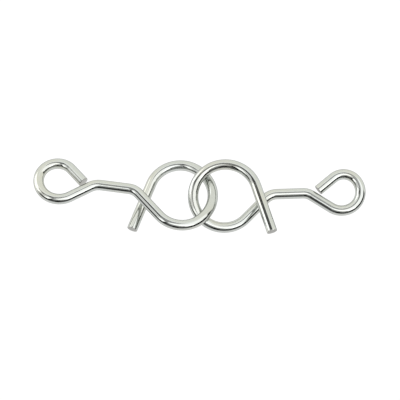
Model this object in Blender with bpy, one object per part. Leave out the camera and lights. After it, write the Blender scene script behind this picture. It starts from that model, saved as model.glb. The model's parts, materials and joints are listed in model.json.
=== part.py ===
"""Wire disentanglement puzzle: two linked pigtail links, each bent from one length of round wire.

Run with: blender --background --python part.py

Units are metres and +Z is up. The puzzle lies at rest on the plane z = 0. X runs along it through
the two eyes, Y runs across it from the tails' ends to the backs of the loops, and the origin is at
the middle of the footprint. Both links are bent in the same hand: the right link is the same kind
of link turned half a turn about Y, so its tail passes over its neck where the left one's passes under.
"""
from math import ceil, cos, radians, sin
from typing import NamedTuple

import bmesh
import bpy
from mathutils import Euler, Matrix, Vector

MM = 0.001

# Wire
WIRE_DIAMETER = 3.0 * MM
CUT_CHAMFER = 0.15 * MM          # broken edge around each cut end

# Mesh fineness
SECTION_SIDES = 16
RING_STEP = radians(7.5)         # most that the wire turns from one ring to the next
SMOOTH_LIMIT = radians(35.0)

# The puzzle opens by turning the right link about X, through the middle of the lens between the loops.
TWIST_AXIS_POINT = Vector((1.3, 0.1, 4.7)) * MM


class Bend(NamedTuple):
    """A bend of the wire's centreline: its radius, and the angle it turns, positive to the left."""
    radius: float
    angle: float


class Link(NamedTuple):
    """One link, described in the order the wire runs, from the cut end at its eye to its tail."""
    eye_lead: float              # straight from the cut end into the eye
    eye: tuple                   # bends around the eye
    eye_exit: float              # straight out of the eye
    shoulder: Bend               # back onto the line of the neck
    neck: float                  # straight neck
    elbow: Bend                  # from the neck towards the loop, where the wire starts to descend
    crossing: float              # straight that the tail will cross
    loop: tuple                  # bends around the loop
    tail: float                  # straight tail to the second cut end
    descent: float               # slope of the wire from the elbow to the tail
    # Where the link rests: the middle of its loop at the height of its neck, and how it leans.
    position: Vector
    lean: tuple                  # yaw about Z, then pitch about Y, then roll about X
    turned_over: bool


def bend(radius_mm, angle_degrees):
    return Bend(radius_mm * MM, radians(angle_degrees))


LEFT_LINK = Link(
    eye_lead=5.6 * MM,
    eye=(bend(5.2, 127.0), bend(6.1, 131.5)),
    eye_exit=6.4 * MM,
    shoulder=bend(5.0, -37.5),
    neck=8.0 * MM,
    elbow=bend(4.7, -39.5),
    crossing=8.9 * MM,
    loop=(bend(8.2, 91.5), bend(11.1, 107.0), bend(8.5, 98.5)),
    tail=15.1 * MM,
    descent=radians(5.6),
    position=Vector((-5.5, 0.6, 7.77)) * MM,
    lean=(radians(-7.3), radians(-0.9), radians(-5.9)),
    turned_over=False,
)

RIGHT_LINK = Link(
    eye_lead=5.7 * MM,
    eye=(bend(4.6, 92.5), bend(5.5, 159.5)),
    eye_exit=6.7 * MM,
    shoulder=bend(4.2, -34.0),
    neck=7.5 * MM,
    elbow=bend(4.9, -44.5),
    crossing=8.3 * MM,
    loop=(bend(8.7, 104.5), bend(9.0, 118.5), bend(9.5, 75.0)),
    tail=14.4 * MM,
    descent=radians(6.2),
    position=Vector((7.1, 0.7, 1.46)) * MM,
    lean=(radians(2.3), radians(-1.5), radians(10.3)),
    turned_over=True,
)


def direction(heading, slope):
    """Unit vector of a wire that heads this way in plan and descends at this slope."""
    return Vector((cos(slope) * cos(heading), cos(slope) * sin(heading), -sin(slope)))


class WirePath:
    """The centreline of a wire, as ring centres and the wire's direction at each ring."""

    def __init__(self):
        self.points = [Vector((0.0, 0.0, 0.0))]
        self.directions = [direction(0.0, 0.0)]
        self.heading = 0.0
        self.slope = 0.0

    def straight(self, length):
        self.directions[-1] = direction(self.heading, self.slope)
        self.points.append(self.points[-1] + self.directions[-1] * length)
        self.directions.append(self.directions[-1])

    def turn(self, arc, end_slope=None):
        """Follow a bend, reaching end_slope by its end if one is given."""
        steps = ceil(abs(arc.angle) / RING_STEP)
        step_angle = arc.angle / steps
        step_slope = 0.0 if end_slope is None else (end_slope - self.slope) / steps
        chord = 2.0 * arc.radius * sin(abs(step_angle) / 2.0)
        for _ in range(steps):
            middle = direction(self.heading + step_angle / 2.0, self.slope + step_slope / 2.0)
            self.points.append(self.points[-1] + middle * chord)
            self.heading += step_angle
            self.slope += step_slope
            self.directions.append(direction(self.heading, self.slope))


def link_path(link):
    """Centreline of a link with its neck along +X, and its loop's middle at x = y = 0."""
    path = WirePath()
    path.straight(link.eye_lead)
    for arc in link.eye:
        path.turn(arc)
    path.straight(link.eye_exit)
    path.turn(link.shoulder)
    neck_heading = path.heading
    path.straight(link.neck)
    path.turn(link.elbow, end_slope=link.descent)
    path.straight(link.crossing)
    loop_start = len(path.points) - 1
    for arc in link.loop:
        path.turn(arc)
    loop_end = len(path.points)
    path.straight(link.tail)

    along_neck = Matrix.Rotation(-neck_heading, 3, "Z")
    points = [along_neck @ point for point in path.points]
    directions = [along_neck @ way for way in path.directions]
    loop_x = [point.x for point in points[loop_start:loop_end]]
    loop_y = [point.y for point in points[loop_start:loop_end]]
    neck_height = points[0].z
    middle = Vector(((min(loop_x) + max(loop_x)) / 2.0, (min(loop_y) + max(loop_y)) / 2.0, neck_height))
    return [point - middle for point in points], directions


def chamfer_ends(points, directions):
    """Ring centres, directions and radii, with a short cone added at each cut end."""
    radius = WIRE_DIAMETER / 2.0
    start = points[0] + directions[0] * CUT_CHAMFER
    end = points[-1] - directions[-1] * CUT_CHAMFER
    ring_points = [points[0], start, *points[1:-1], end, points[-1]]
    ring_directions = [directions[0], *directions, directions[-1]]
    cut_radius = radius - CUT_CHAMFER
    radii = [cut_radius, *([radius] * len(points)), cut_radius]
    return ring_points, ring_directions, radii


def wire_mesh(name, points, directions):
    """A closed round wire along the path. The wire never stands on end, so Z orients every ring."""
    mesh = bpy.data.meshes.new(name)
    wire = bmesh.new()
    rings = []
    for centre, way, radius in zip(*chamfer_ends(points, directions)):
        side = way.cross(Vector((0.0, 0.0, 1.0))).normalized()
        top = side.cross(way)
        ring = []
        for index in range(SECTION_SIDES):
            angle = radians(360.0) * index / SECTION_SIDES
            ring.append(wire.verts.new(centre + (side * cos(angle) + top * sin(angle)) * radius))
        rings.append(ring)
    for near, far in zip(rings, rings[1:]):
        for index in range(SECTION_SIDES):
            following = (index + 1) % SECTION_SIDES
            wire.faces.new((near[index], near[following], far[following], far[index]))
    wire.faces.new(reversed(rings[0]))
    wire.faces.new(rings[-1])
    bmesh.ops.recalc_face_normals(wire, faces=wire.faces)
    wire.to_mesh(mesh)
    wire.free()
    mesh.shade_smooth()
    mesh.set_sharp_from_angle(angle=SMOOTH_LIMIT)
    return mesh


def plated_steel(name, colour, roughness):
    """Bright zinc plating over steel wire."""
    material = bpy.data.materials.new(name)
    material.use_nodes = True
    shader = material.node_tree.nodes["Principled BSDF"]
    shader.inputs["Base Color"].default_value = (*colour, 1.0)
    shader.inputs["Metallic"].default_value = 1.0
    shader.inputs["Roughness"].default_value = roughness
    return material


def add_link(name, link, material):
    """Build a link where it rests, with its object's origin on the twist axis."""
    yaw, pitch, roll = link.lean
    lean = Euler((roll, pitch, yaw), "XYZ").to_matrix()
    if link.turned_over:
        lean = lean @ Matrix.Rotation(radians(180.0), 3, "Y")
    points, directions = link_path(link)
    place = link.position - TWIST_AXIS_POINT
    points = [lean @ point + place for point in points]
    directions = [lean @ way for way in directions]
    piece = bpy.data.objects.new(name, wire_mesh(name, points, directions))
    piece.data.materials.append(material)
    piece.location = TWIST_AXIS_POINT
    bpy.context.scene.collection.objects.link(piece)
    return piece


def clear_scene():
    for item in list(bpy.data.objects):
        bpy.data.objects.remove(item, do_unlink=True)


def main():
    clear_scene()
    add_link("left_link", LEFT_LINK, plated_steel("left_link_plating", (0.80, 0.81, 0.79), 0.12))
    add_link("right_link", RIGHT_LINK, plated_steel("right_link_plating", (0.79, 0.80, 0.79), 0.13))


main()
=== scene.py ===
"""Studio scene of a wire disentanglement puzzle: two linked pigtail links of bright plated wire.

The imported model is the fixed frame. Each link is redrawn here as a fine, smooth wire along the same
bends as its solid, with rounded cut ends, and its plating follows the wire round every bend.
"""

import json
from math import ceil, cos, radians, sin, tan, tau
from typing import NamedTuple

import bmesh
import bpy
from mathutils import Euler, Matrix, Vector


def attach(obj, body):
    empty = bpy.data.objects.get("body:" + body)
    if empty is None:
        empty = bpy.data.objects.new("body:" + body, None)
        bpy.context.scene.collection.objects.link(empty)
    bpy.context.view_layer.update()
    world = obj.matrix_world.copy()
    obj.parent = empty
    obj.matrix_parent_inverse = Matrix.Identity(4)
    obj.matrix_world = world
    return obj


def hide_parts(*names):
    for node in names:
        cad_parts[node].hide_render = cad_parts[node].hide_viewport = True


MM = 0.001
X_AXIS = Vector((1.0, 0.0, 0.0))
Y_AXIS = Vector((0.0, 1.0, 0.0))
Z_AXIS = Vector((0.0, 0.0, 1.0))

# Wire
WIRE_RADIUS = 1.5 * MM
CUT_CHAMFER = 0.15 * MM          # broken edge around each cut end
CUT_ROUNDING_STEPS = 5
CUT_DISH = 0.04 * MM             # how far the cutter leaves the middle of an end face hollow
CUT_FACE_SHARES = (0.25, 0.5, 0.75, 0.95)    # rings on an end face, as shares of its radius
RUB_REACH = 7.0 * MM             # how far the loops rub, from the middle of the lens between them
RUB_FADE = 7.0 * MM

# Mesh fineness
SECTION_SIDES = 64
RING_STEP = radians(1.5)         # most that the wire turns from one ring to the next
STRAIGHT_STEP = 0.5 * MM         # most that a straight runs from one ring to the next

# Camera
CAMERA_TARGET = Vector((0.0, 0.67, 0.0)) * MM
CAMERA_DISTANCE = 450.0 * MM
CAMERA_AZIMUTH = radians(1.0)
CAMERA_ELEVATION = radians(68.0)
SENSOR_WIDTH = 36.0              # millimetres, as Blender's cameras have it
LENS = 140.4                     # millimetres
CLIP_START = 10.0 * MM

# Plating: its colours and roughness
COOL_ZINC = (0.565, 0.587, 0.563, 1.0)
STRAW_ZINC = (0.580, 0.585, 0.530, 1.0)
DULL_ZINC = (0.530, 0.548, 0.525, 1.0)
BARE_STEEL = (0.500, 0.490, 0.470, 1.0)
EDGE_TINT = 0.5                  # how bright the plating stays where it is seen at a glancing angle
SMOOTH_PLATING = 0.05
BLOOMED_PLATING = 0.11
STRAINED_ROUGHNESS = 0.10        # what stretching, scuffs, scratches and a cut each add
SCUFFED_ROUGHNESS = 0.07
SCRATCHED_ROUGHNESS = 0.12
CUT_ROUGHNESS = 0.22
DULL_MOST = 0.6                  # most that a spot of bloom dulls the colour
SCUFFED_BARE = 0.35              # how much bare steel shows through in a scuff and on a cut
CUT_BARE = 0.7

# Plating: each kind of mark by its size along the wire and across it, its depth, and the range of
# its noise over which it comes in
GRAIN_ROUGHNESS = 0.55
PLAIN_DETAIL = 2.0
FINE_DETAIL = 3.0
FINEST_DETAIL = 5.0
DRAWN_LINE = (30.0 * MM, 0.14 * MM, 0.14 * MM)
DRAWN_DEPTH = 0.0007 * MM
BLOOM_SPOT = (1.4 * MM, 0.9 * MM, 0.9 * MM)
BLOOM_DULLS = (0.42, 0.72)
BLOOM_ROUGHENS = (0.35, 0.75)
TINT_PATCH = (13.0 * MM, 6.0 * MM, 6.0 * MM)
TINT_TURNS = (0.42, 0.68)
WAVE = (3.0 * MM, 1.6 * MM, 1.6 * MM)
WAVE_DEPTH = 0.008 * MM
PEEL_GRAIN = (0.12 * MM, 0.12 * MM, 0.12 * MM)
PEEL_DEPTH = 0.0002 * MM
STRAINED_PEEL_DEPTH = 0.0010 * MM
SCRATCH = (2.5 * MM, 0.05 * MM, 0.35 * MM)
SCRATCH_SLANT = 0.30
SCRATCH_STARTS = (0.70, 0.76)
SCRATCH_DEPTH = 0.0015 * MM
SCUFF_STARTS = (0.48, 0.62)
SHEAR_LINE = (3.0 * MM, 0.10 * MM, 2.5 * MM)
SHEAR_DEPTH = 0.012 * MM
CUT_REACH = (0.06 * MM, 0.18 * MM)           # how far from its end the wire looks cut
RIGHT_WIRE_START = 0.4           # metres: the right wire's marks are read further along the same noise

# Studio
FLOOR_SIZE = 6.0
FLOOR_GLOW = 1.08                # just past white where the camera looks down on the floor
FLOOR_ROUGHNESS = 0.12
ACRYLIC_IOR = 1.49
WHITE = (1.0, 1.0, 1.0)
TENT_RADIANCE = 1.15
TENT_TINT = (1.0, 1.0, 0.94)
TENT_EDGE = 0.15                 # how far back the tent starts, as the sine of the angle behind the puzzle
TENT_SOFTNESS = 0.07
BLACK = (0.0, 0.0, 0.0, 1.0)     # the room in front of the tent
PANEL_SOFTNESS = 0.035
PANEL_SIDE = (0.05, 0.06)        # a panel fades out where it would be seen edge on, or from behind


class Bend(NamedTuple):
    """A bend of the wire's centreline: its radius, and the angle it turns, positive to the left."""
    radius: float
    angle: float


class Link(NamedTuple):
    """One link, described in the order the wire runs, from the cut end at its eye to its tail."""
    eye_lead: float              # straight from the cut end into the eye
    eye: tuple                   # bends around the eye
    eye_exit: float              # straight out of the eye
    shoulder: Bend               # back onto the line of the neck
    neck: float                  # straight neck
    elbow: Bend                  # from the neck towards the loop, where the wire starts to descend
    crossing: float              # straight that the tail will cross
    loop: tuple                  # bends around the loop
    tail: float                  # straight tail to the second cut end
    descent: float               # slope of the wire from the elbow to the tail
    # Where the link rests: the middle of its loop at the height of its neck, and how it leans.
    position: Vector
    lean: tuple                  # yaw about Z, then pitch about Y, then roll about X
    turned_over: bool


def bend(radius_mm, angle_degrees):
    return Bend(radius_mm * MM, radians(angle_degrees))


LEFT_LINK = Link(
    eye_lead=5.6 * MM,
    eye=(bend(5.2, 127.0), bend(6.1, 131.5)),
    eye_exit=6.4 * MM,
    shoulder=bend(5.0, -37.5),
    neck=8.0 * MM,
    elbow=bend(4.7, -39.5),
    crossing=8.9 * MM,
    loop=(bend(8.2, 91.5), bend(11.1, 107.0), bend(8.5, 98.5)),
    tail=15.1 * MM,
    descent=radians(5.6),
    position=Vector((-5.5, 0.6, 7.77)) * MM,
    lean=(radians(-7.3), radians(-0.9), radians(-5.9)),
    turned_over=False,
)

RIGHT_LINK = Link(
    eye_lead=5.7 * MM,
    eye=(bend(4.6, 92.5), bend(5.5, 159.5)),
    eye_exit=6.7 * MM,
    shoulder=bend(4.2, -34.0),
    neck=7.5 * MM,
    elbow=bend(4.9, -44.5),
    crossing=8.3 * MM,
    loop=(bend(8.7, 104.5), bend(9.0, 118.5), bend(9.5, 75.0)),
    tail=14.4 * MM,
    descent=radians(6.2),
    position=Vector((7.1, 0.7, 1.46)) * MM,
    lean=(radians(2.3), radians(-1.5), radians(10.3)),
    turned_over=True,
)


# ---------------------------------------------------------------- the wire's shape

def direction(heading, slope):
    """Unit vector of a wire that heads this way in plan and descends at this slope."""
    return Vector((cos(slope) * cos(heading), cos(slope) * sin(heading), -sin(slope)))


class Ring(NamedTuple):
    """One ring of the wire's surface."""
    centre: Vector
    way: Vector
    run: float                   # length of wire from the cut end at the eye
    strain: float                # wire radius over bend radius: how far bending has stretched the outside
    radius: float = WIRE_RADIUS


class WirePath:
    """The centreline of a wire, as the rings along it."""

    def __init__(self):
        self.rings = [Ring(Vector((0.0, 0.0, 0.0)), direction(0.0, 0.0), 0.0, 0.0)]
        self.heading = 0.0
        self.slope = 0.0

    def straight(self, length):
        way = direction(self.heading, self.slope)
        start = self.rings[-1]._replace(way=way)
        self.rings[-1] = start
        steps = ceil(length / STRAIGHT_STEP)
        for index in range(1, steps + 1):
            covered = length * index / steps
            self.rings.append(Ring(start.centre + way * covered, way, start.run + covered, 0.0))

    def turn(self, arc, end_slope=None):
        """Follow a bend, reaching end_slope by its end if one is given."""
        steps = ceil(abs(arc.angle) / RING_STEP)
        step_angle = arc.angle / steps
        step_slope = 0.0 if end_slope is None else (end_slope - self.slope) / steps
        chord = 2.0 * arc.radius * sin(abs(step_angle) / 2.0)
        strain = WIRE_RADIUS / arc.radius
        for _ in range(steps):
            middle = direction(self.heading + step_angle / 2.0, self.slope + step_slope / 2.0)
            last = self.rings[-1]
            self.heading += step_angle
            self.slope += step_slope
            way = direction(self.heading, self.slope)
            self.rings.append(Ring(last.centre + middle * chord, way, last.run + chord, strain))


def link_rings(link):
    """Rings along a link's centreline, where it rests."""
    path = WirePath()
    path.straight(link.eye_lead)
    for arc in link.eye:
        path.turn(arc)
    path.straight(link.eye_exit)
    path.turn(link.shoulder)
    neck_heading = path.heading
    path.straight(link.neck)
    path.turn(link.elbow, end_slope=link.descent)
    path.straight(link.crossing)
    loop_start = len(path.rings) - 1
    for arc in link.loop:
        path.turn(arc)
    loop_end = len(path.rings)
    path.straight(link.tail)

    along_neck = Matrix.Rotation(-neck_heading, 3, "Z")
    centres = [along_neck @ ring.centre for ring in path.rings]
    loop_x = [centre.x for centre in centres[loop_start:loop_end]]
    loop_y = [centre.y for centre in centres[loop_start:loop_end]]
    middle = Vector(((min(loop_x) + max(loop_x)) / 2.0, (min(loop_y) + max(loop_y)) / 2.0, centres[0].z))

    yaw, pitch, roll = link.lean
    lean = Euler((roll, pitch, yaw), "XYZ").to_matrix()
    if link.turned_over:
        lean = lean @ Matrix.Rotation(radians(180.0), 3, "Y")
    return [
        ring._replace(centre=lean @ (centre - middle) + link.position, way=lean @ along_neck @ ring.way)
        for ring, centre in zip(path.rings, centres)
    ]


def cut_end(ring, sign):
    """Rings of a cut end, from the middle of its dished face out and round its broken edge. The
    wire starts at this ring if sign is 1, and ends there if it is -1."""
    face = WIRE_RADIUS - CUT_CHAMFER
    profile = [(face * share, CUT_DISH * (1.0 - share * share)) for share in CUT_FACE_SHARES]
    for step in range(CUT_ROUNDING_STEPS + 1):
        angle = radians(90.0) * step / CUT_ROUNDING_STEPS
        profile.append((face + CUT_CHAMFER * sin(angle), CUT_CHAMFER * (1.0 - cos(angle))))
    rings = []
    for radius, depth in profile:
        inward = depth * sign
        centre = ring.centre + ring.way * inward
        rings.append(ring._replace(centre=centre, run=ring.run + inward, radius=radius))
    return rings


def wire_mesh(name, path, lens):
    """A closed round wire along the path, with facts about each point for its material:
    straightened  where it was before the wire was bent: the run along the wire, then across it
    from_end      distance along the wire to the nearer cut end
    strain        how far bending has stretched the outside of the wire here
    rub           1 where the two loops hang in each other, around the lens between them
    """
    mesh = bpy.data.meshes.new(name)
    wire = bmesh.new()
    straightened = wire.verts.layers.float_vector.new("straightened")
    from_end = wire.verts.layers.float.new("from_end")
    strain = wire.verts.layers.float.new("strain")
    rub = wire.verts.layers.float.new("rub")
    length = path[-1].run
    rings = []
    for ring in [*cut_end(path[0], 1.0), *path[1:-1], *reversed(cut_end(path[-1], -1.0))]:
        side = ring.way.cross(Z_AXIS).normalized()
        top = side.cross(ring.way)
        outside_lens = max(0.0, (ring.centre - lens).length - RUB_REACH)
        verts = []
        for index in range(SECTION_SIDES):
            angle = tau * index / SECTION_SIDES
            across = Vector((cos(angle), sin(angle))) * ring.radius
            vert = wire.verts.new(ring.centre + side * across.x + top * across.y)
            vert[straightened] = (ring.run, across.x, across.y)
            vert[from_end] = min(ring.run, length - ring.run)
            vert[strain] = ring.strain
            vert[rub] = max(0.0, 1.0 - outside_lens / RUB_FADE)
            verts.append(vert)
        rings.append(verts)
    for near, far in zip(rings, rings[1:]):
        for index in range(SECTION_SIDES):
            following = (index + 1) % SECTION_SIDES
            wire.faces.new((near[index], near[following], far[following], far[index]))
    wire.faces.new(reversed(rings[0]))
    wire.faces.new(rings[-1])
    bmesh.ops.recalc_face_normals(wire, faces=wire.faces)
    wire.to_mesh(mesh)
    wire.free()
    mesh.shade_smooth()
    return mesh


def add_link(name, link, lens, body, node, material):
    """Redraw a link where it rests, in place of its solid. The lens is where the two loops hang."""
    piece = bpy.data.objects.new(name, wire_mesh(name, link_rings(link), lens))
    piece.data.materials.append(material)
    bpy.context.scene.collection.objects.link(piece)
    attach(piece, body)
    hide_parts(node)


# ---------------------------------------------------------------- materials

class Nodes:
    """Adds nodes to a tree and links them as they are made."""

    def __init__(self, tree):
        self.tree = tree

    def add(self, kind, settings=(), output=0, **values):
        """Add a node; values are its inputs by name, with a number at the end for repeated names."""
        node = self.tree.nodes.new(kind)
        for name, value in dict(settings).items():
            setattr(node, name, value)
        for name, value in values.items():
            socket = self.socket(node, name)
            if isinstance(value, bpy.types.NodeSocket):
                self.tree.links.new(value, socket)
            else:
                socket.default_value = value
        return node.outputs[output]

    @staticmethod
    def socket(node, name):
        if name[-1].isdigit():
            return node.inputs[int(name[-1])]
        wanted = name.replace("_", " ").lower()
        return next(socket for socket in node.inputs if socket.name.lower() == wanted)

    def maths(self, operation, *values):
        inputs = {f"value{index}": value for index, value in enumerate(values)}
        return self.add("ShaderNodeMath", {"operation": operation}, **inputs)

    def vector_maths(self, operation, first, second):
        return self.add("ShaderNodeVectorMath", {"operation": operation}, vector0=first, vector1=second)

    def dot(self, vector, axis):
        settings = {"operation": "DOT_PRODUCT"}
        return self.add("ShaderNodeVectorMath", settings, output="Value", vector0=vector, vector1=axis)

    def smooth_step(self, value, low, high, low_result=0.0, high_result=1.0):
        settings = {"interpolation_type": "SMOOTHSTEP"}
        return self.add("ShaderNodeMapRange", settings, value=value, from_min=low, from_max=high,
                        to_min=low_result, to_max=high_result)

    def mix(self, factor, first, second):
        """Mix two colours."""
        settings = {"data_type": "RGBA"}
        return self.add("ShaderNodeMix", settings, output=2, factor0=factor, first6=first, second7=second)


def attribute(nodes, name, output="Fac"):
    return nodes.add("ShaderNodeAttribute", {"attribute_name": name}, output=output)


def grain(nodes, place, size, detail=PLAIN_DETAIL):
    """Noise on the straightened wire, from 0 to 1, with grains of this size along and across it."""
    fineness = [1.0 / extent for extent in size]
    scaled = nodes.vector_maths("MULTIPLY", place, fineness)
    settings = {"vector": scaled, "scale": 1.0, "detail": detail, "roughness": GRAIN_ROUGHNESS}
    return nodes.add("ShaderNodeTexNoise", **settings)


def slanted(nodes, place, slant):
    """The straightened wire with its length leant over, for scratches that cross it at a slant."""
    run = nodes.dot(place, X_AXIS)
    shift = nodes.add("ShaderNodeCombineXYZ", x=0.0, y=nodes.maths("MULTIPLY", run, slant), z=0.0)
    return nodes.vector_maths("ADD", place, shift)


def plated_steel(name, start):
    """Bright zinc plating on drawn steel wire, under a thin clear coat that tints it here and there.
    The wire has drawing lines along it and a few handling scratches across it. Its bends have a
    slight orange peel, and its cut ends are rough, with shear lines. The marks depend on how far
    along the noise the wire starts."""
    material = bpy.data.materials.new(name)
    material.use_nodes = True
    nodes = Nodes(material.node_tree)
    shader = material.node_tree.nodes["Principled BSDF"]
    shader.inputs["Metallic"].default_value = 1.0
    shader.inputs["Specular Tint"].default_value = (*[EDGE_TINT] * 3, 1.0)

    straightened = attribute(nodes, "straightened", "Vector")
    place = nodes.vector_maths("ADD", straightened, (start, 0.0, 0.0))
    rub = attribute(nodes, "rub")
    strain = attribute(nodes, "strain")
    cut = nodes.smooth_step(attribute(nodes, "from_end"), *CUT_REACH, 1.0, 0.0)

    drawn = grain(nodes, place, DRAWN_LINE, FINE_DETAIL)
    bloom = grain(nodes, place, BLOOM_SPOT, FINEST_DETAIL)
    dents = grain(nodes, place, WAVE)
    peel = grain(nodes, place, PEEL_GRAIN)
    shear = grain(nodes, place, SHEAR_LINE, FINE_DETAIL)
    tinted = grain(nodes, place, TINT_PATCH)
    scratch_noise = grain(nodes, slanted(nodes, place, SCRATCH_SLANT), SCRATCH)
    scratch = nodes.smooth_step(scratch_noise, *SCRATCH_STARTS)
    scuffed = nodes.maths("MULTIPLY", rub, nodes.smooth_step(drawn, *SCUFF_STARTS))

    clear_coat = nodes.mix(nodes.smooth_step(tinted, *TINT_TURNS), COOL_ZINC, STRAW_ZINC)
    clouded = nodes.smooth_step(bloom, *BLOOM_DULLS, 0.0, DULL_MOST)
    colour = nodes.mix(clouded, clear_coat, DULL_ZINC)
    colour = nodes.mix(nodes.maths("MULTIPLY", scuffed, SCUFFED_BARE), colour, BARE_STEEL)
    colour = nodes.mix(nodes.maths("MULTIPLY", cut, CUT_BARE), colour, BARE_STEEL)
    material.node_tree.links.new(colour, shader.inputs["Base Color"])

    rough = nodes.smooth_step(bloom, *BLOOM_ROUGHENS, SMOOTH_PLATING, BLOOMED_PLATING)
    for amount, added in (
        (strain, STRAINED_ROUGHNESS),
        (scuffed, SCUFFED_ROUGHNESS),
        (scratch, SCRATCHED_ROUGHNESS),
        (cut, CUT_ROUGHNESS),
    ):
        rough = nodes.maths("MULTIPLY_ADD", amount, added, rough)
    material.node_tree.links.new(rough, shader.inputs["Roughness"])

    height = nodes.maths("MULTIPLY", drawn, DRAWN_DEPTH)
    peel_depth = nodes.maths("MULTIPLY_ADD", strain, STRAINED_PEEL_DEPTH, PEEL_DEPTH)
    for relief, depth in ((dents, WAVE_DEPTH), (peel, peel_depth), (scratch, -SCRATCH_DEPTH)):
        height = nodes.maths("MULTIPLY_ADD", relief, depth, height)
    height = nodes.maths("MULTIPLY_ADD", nodes.maths("MULTIPLY", shear, cut), SHEAR_DEPTH, height)
    bump = nodes.add("ShaderNodeBump", height=height, distance=1.0, strength=1.0)
    material.node_tree.links.new(bump, shader.inputs["Normal"])
    return material


def light_table(name):
    """Glossy white acrylic lit from below: white from above, and at a glancing angle it shows
    what stands beyond it instead."""
    material = bpy.data.materials.new(name)
    material.use_nodes = True
    nodes = Nodes(material.node_tree)
    material.node_tree.nodes.remove(material.node_tree.nodes["Principled BSDF"])
    lit = nodes.add("ShaderNodeEmission", strength=FLOOR_GLOW)
    gloss = nodes.add("ShaderNodeBsdfAnisotropic", color=(*WHITE, 1.0), roughness=FLOOR_ROUGHNESS)
    share = nodes.add("ShaderNodeFresnel", ior=ACRYLIC_IOR)
    surface = nodes.add("ShaderNodeMixShader", factor0=share, shader1=lit, shader2=gloss)
    material.node_tree.links.new(surface, material.node_tree.nodes["Material Output"].inputs["Surface"])
    return material


# ---------------------------------------------------------------- studio

def add_floor():
    mesh = bpy.data.meshes.new("floor")
    plane = bmesh.new()
    bmesh.ops.create_grid(plane, x_segments=1, y_segments=1, size=FLOOR_SIZE / 2.0)
    plane.to_mesh(mesh)
    plane.free()
    floor = bpy.data.objects.new("floor", mesh)
    mesh.materials.append(light_table("light_table"))
    bpy.context.scene.collection.objects.link(floor)


def toward(azimuth, elevation):
    """Direction of a place in the studio: azimuth from the front (-Y) towards +X, and elevation."""
    return Vector((cos(elevation) * sin(azimuth), -cos(elevation) * cos(azimuth), sin(elevation)))


class Panel(NamedTuple):
    """A softbox, reflector or dark flag of the studio, far enough away to be painted on its sky."""
    lean_x: float                # degrees from overhead towards +X
    lean_y: float                # degrees from overhead towards +Y, the back
    roll: float                  # degrees
    half_width: float            # degrees, before the roll
    half_height: float
    radiance: float


PANELS = (
    Panel(-60, 0, 20, 25, 40, 2.0),      # softbox on the left
    Panel(-50, -15, 15, 30, 10, 1.0),    # its grey band
    Panel(0, -20, -10, 20, 35, 0.6),     # grey ceiling over the front
    Panel(30, -15, -40, 28, 30, 1.6),    # softbox at the front right
    Panel(15, -33, -20, 30, 6, 2.4),     # strip light over the front
    Panel(-17, -7, -60, 12, 3, 0.0),     # boom of the strip light
    Panel(-40, 5, 20, 4, 9, 0.0),        # stand of the strip light
    Panel(-5, 12, 15, 15, 4, 0.1),       # gap over the tent's edge
    Panel(-65, -40, 40, 10, 15, 0.0),    # black flag at the front left
    Panel(15, -65, 5, 12, 10, 0.2),      # grey card low at the front
    Panel(-40, -80, 60, 30, 10, 0.1),    # grey wall low at the front left
    Panel(85, -30, 0, 25, 20, 0.0),      # black card low at the right
    Panel(-5, 24, 15, 20, 8, 1.3),       # pale cloth inside the tent's edge
)


def glow(radiance, tint=WHITE):
    """The colour of a light of this strength."""
    return (*[radiance * channel for channel in tint], 1.0)


def panel_axes(panel):
    """The panel's own axes: its right, its up and the way to it."""
    lean = Vector((radians(panel.lean_x), radians(panel.lean_y), 0.0))
    tilt = Matrix.Rotation(lean.length, 3, Z_AXIS.cross(lean)) if lean.length else Matrix.Identity(3)
    turn = tilt @ Matrix.Rotation(radians(panel.roll), 3, "Z")
    return turn.col[0], turn.col[1], turn.col[2]


def paint_panel(nodes, way, sky, panel):
    """The sky with one more panel in front of it."""
    right, up, out = panel_axes(panel)
    ahead = nodes.dot(way, out)
    reach = nodes.maths("MAXIMUM", ahead, PANEL_SIDE[0])
    inside = nodes.smooth_step(ahead, *PANEL_SIDE)
    for axis, half_angle in ((right, panel.half_width), (up, panel.half_height)):
        offset = nodes.maths("ABSOLUTE", nodes.maths("DIVIDE", nodes.dot(way, axis), reach))
        edge = tan(radians(half_angle))
        within = nodes.smooth_step(offset, edge - PANEL_SOFTNESS, edge + PANEL_SOFTNESS, 1.0, 0.0)
        inside = nodes.maths("MULTIPLY", inside, within)
    return nodes.mix(inside, sky, glow(panel.radiance))


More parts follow.
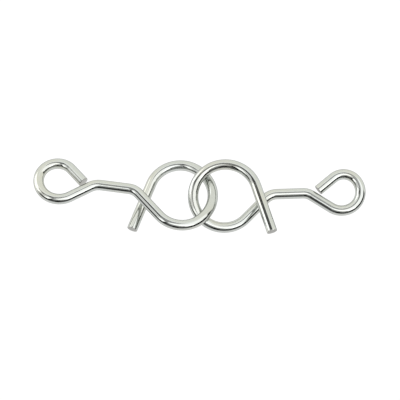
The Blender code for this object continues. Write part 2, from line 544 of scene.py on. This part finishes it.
def add_studio_sky():
    """A light tent at the back, a black room at the front, and the panels in front of both."""
    world = bpy.data.worlds.new("studio")
    world.use_nodes = True
    nodes = Nodes(world.node_tree)
    way = nodes.add("ShaderNodeTexCoord", output="Generated")
    depth = nodes.dot(way, Y_AXIS)
    is_tent = nodes.smooth_step(depth, TENT_EDGE - TENT_SOFTNESS, TENT_EDGE + TENT_SOFTNESS)
    sky = nodes.mix(is_tent, BLACK, glow(TENT_RADIANCE, TENT_TINT))
    for panel in PANELS:
        sky = paint_panel(nodes, way, sky, panel)
    world.node_tree.links.new(sky, world.node_tree.nodes["Background"].inputs["Color"])
    bpy.context.scene.world = world


def add_camera():
    camera = bpy.data.cameras.new("camera")
    camera.sensor_width = SENSOR_WIDTH
    camera.lens = LENS
    camera.clip_start = CLIP_START
    viewer = bpy.data.objects.new("camera", camera)
    way = toward(CAMERA_AZIMUTH, CAMERA_ELEVATION)
    viewer.location = CAMERA_TARGET + way * CAMERA_DISTANCE
    viewer.rotation_euler = way.to_track_quat("Z", "Y").to_euler()
    bpy.context.scene.collection.objects.link(viewer)
    bpy.context.scene.camera = viewer


# ---------------------------------------------------------------- the scene


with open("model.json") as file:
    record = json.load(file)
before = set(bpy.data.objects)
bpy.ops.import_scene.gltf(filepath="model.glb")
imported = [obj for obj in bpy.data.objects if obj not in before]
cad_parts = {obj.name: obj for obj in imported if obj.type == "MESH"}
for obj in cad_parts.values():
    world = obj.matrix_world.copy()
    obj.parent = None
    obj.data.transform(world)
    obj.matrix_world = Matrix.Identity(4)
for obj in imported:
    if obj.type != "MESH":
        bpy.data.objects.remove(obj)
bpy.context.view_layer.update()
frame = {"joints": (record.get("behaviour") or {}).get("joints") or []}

add_camera()
add_floor()
add_studio_sky()

lens = Vector(frame["joints"][0]["pos_m"])
left_plating = plated_steel("left_plating", 0.0)
right_plating = plated_steel("right_plating", RIGHT_WIRE_START)
add_link("left_wire", LEFT_LINK, lens, "left_link", "left_link", left_plating)
add_link("right_wire", RIGHT_LINK, lens, "right_link", "right_link", right_plating)

bpy.context.scene.view_settings.view_transform = "Standard"
